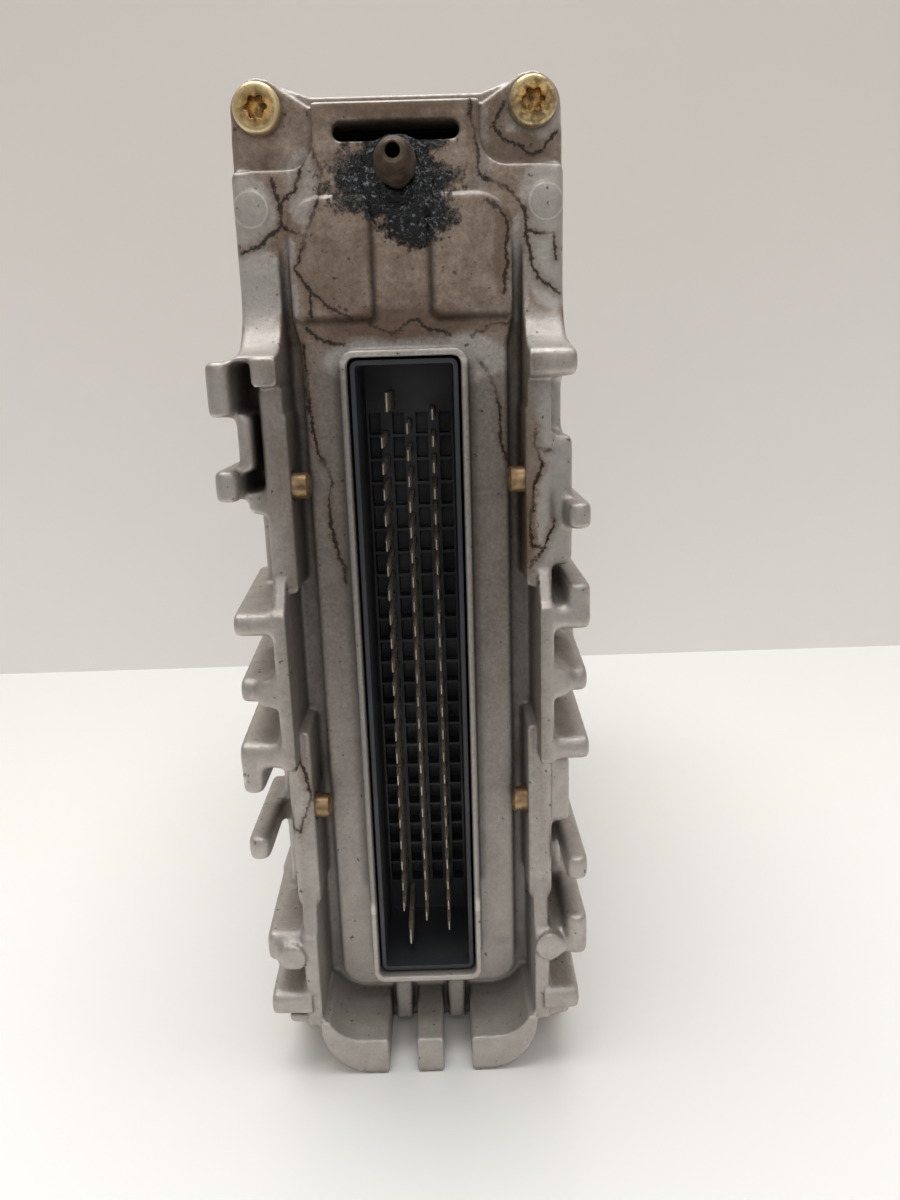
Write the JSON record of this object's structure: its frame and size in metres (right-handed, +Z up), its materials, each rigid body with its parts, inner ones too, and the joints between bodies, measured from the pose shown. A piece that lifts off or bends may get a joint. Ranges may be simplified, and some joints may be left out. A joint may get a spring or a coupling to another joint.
{
  "type": "engine control unit",
  "caption": "Engine control unit in a finned die-cast housing, standing on edge, with a long multi-way plug bay and a hose nipple on its front.",
  "frame": {"origin": "middle of the box round the unit, at the height of the surface that it stands on", "axes": "+Z up along the plug bay, -Y out of the plug bay towards the plug, +X to the right seen from the plug"},
  "size_m": [0.0562, 0.152, 0.1591],
  "materials": {
    "cast_aluminium": "die-cast, stained, with clear lacquer that peels",
    "cast_aluminium_rear": "die-cast, satin",
    "seal_rubber": "matt",
    "yellow_zinc": "yellow zinc plate",
    "connector_plastic": "moulded, satin",
    "tinned_blade": "tinned, dull",
    "guide_pin_brass": "dull golden brown",
    "nipple_brass": "tarnished brown",
    "chip_plastic": "moulded",
    "board_green": "solder lacquer",
    "foil_amber": "foil",
    "clamp_steel": "bright",
    "capacitor_sleeve": "shrink sleeve",
    "coil_brown": "varnished"
  },
  "bodies": {
    "root": {"front_housing": "cast_aluminium", "rear_housing": "cast_aluminium_rear", "housing_seal": "seal_rubber", "housing_screws": "yellow_zinc", "connector_body": "connector_plastic", "connector_seal": "seal_rubber", "blades_right_row": "tinned_blade", "blades_middle_row": "tinned_blade", "blades_left_row": "tinned_blade", "power_blades": "tinned_blade", "guide_pins": "guide_pin_brass", "pressure_nipple": "nipple_brass", "sensor_hose": "seal_rubber", "pressure_sensor": "chip_plastic", "main_board": "board_green", "power_board": "board_green", "board_link": "foil_amber", "microcontroller": "chip_plastic", "program_memories": "chip_plastic", "driver_chips": "chip_plastic", "power_transistors": "chip_plastic", "transistor_clamp": "clamp_steel", "clamp_screws": "clamp_steel", "storage_capacitors": "capacitor_sleeve", "suppressor_coil": "coil_brown", "clock_crystal": "clamp_steel"}
  },
  "joints": []
}
